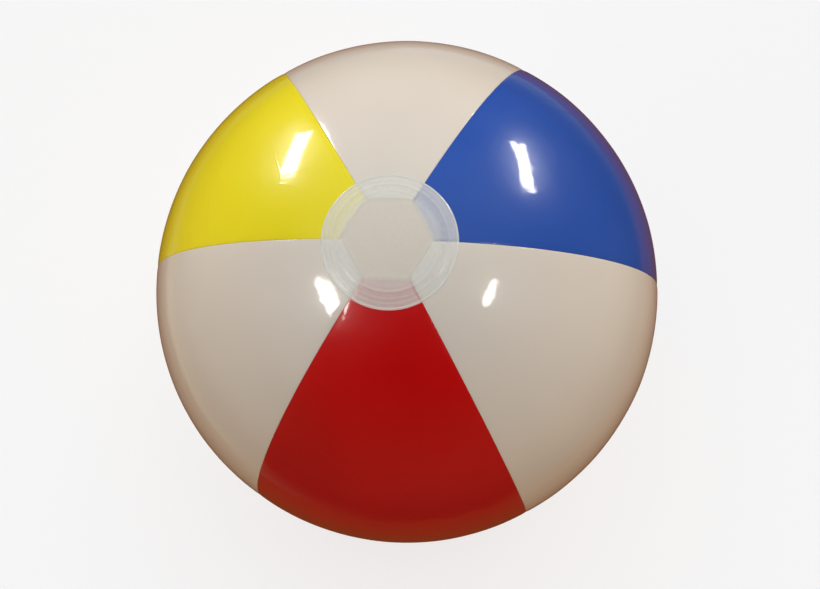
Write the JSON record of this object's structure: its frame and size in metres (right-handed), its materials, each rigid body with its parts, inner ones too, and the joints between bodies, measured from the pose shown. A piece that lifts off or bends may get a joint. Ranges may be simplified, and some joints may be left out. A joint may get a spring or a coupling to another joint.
{
  "type": "inflatable beach ball",
  "caption": "Inflated vinyl ball of coloured gores welded on turned-in seams, with round frosted end discs and a push-in valve with a strapped plug and a check flap.",
  "frame": {"origin": "centre of the ball", "axes": "+Z through the middle of the upper end disc, with the ball resting on the lower one; +X out along the valve's axis"},
  "size_m": [0.2996, 0.3, 0.2999],
  "materials": {
    "vinyl_white": "milky white plasticised vinyl film, glossy",
    "vinyl_blue": "opaque blue vinyl film, glossy",
    "vinyl_yellow": "yellow vinyl film, glossy",
    "vinyl_red": "deep red vinyl film, glossy",
    "frosted_film": "frosted see-through vinyl film with welded rings",
    "valve_vinyl": "soft moulded vinyl, satin gloss",
    "flap_film": "thin clear vinyl film"
  },
  "bodies": {
    "ball": {"white_valve_panel": "vinyl_white", "blue_panel": "vinyl_blue", "white_back_panel": "vinyl_white", "yellow_panel": "vinyl_yellow", "white_front_panel": "vinyl_white", "red_panel": "vinyl_red", "top_end_disc": "frosted_film", "bottom_end_disc": "frosted_film", "valve_flange": "valve_vinyl"},
    "valve_stem": {"valve_web": "valve_vinyl", "valve_stem": "valve_vinyl", "plug_strap": "valve_vinyl"},
    "valve_plug": {"valve_plug": "valve_vinyl"},
    "check_flap": {"check_flap": "flap_film"}
  },
  "joints": [
    {"name": "valve_slide", "type": "slide", "parent": "ball", "child": "valve_stem", "axis": [1, 0, 0], "range_m": [0, 0.014], "deforming": ["valve_web"]},
    {"name": "plug_hinge", "type": "hinge", "parent": "valve_stem", "child": "valve_plug", "pos_m": [0.1476, -0.0076, 0], "axis": [0, 0, -1], "range_deg": [0, 100], "deforming": ["plug_strap"]},
    {"name": "flap_hinge", "type": "hinge", "parent": "valve_stem", "child": "check_flap", "pos_m": [0.137, -0.00475, 0], "axis": [0, 0, 1], "range_deg": [0, 60], "stiffness_Nm_per_rad": 0.00001}
  ]
}
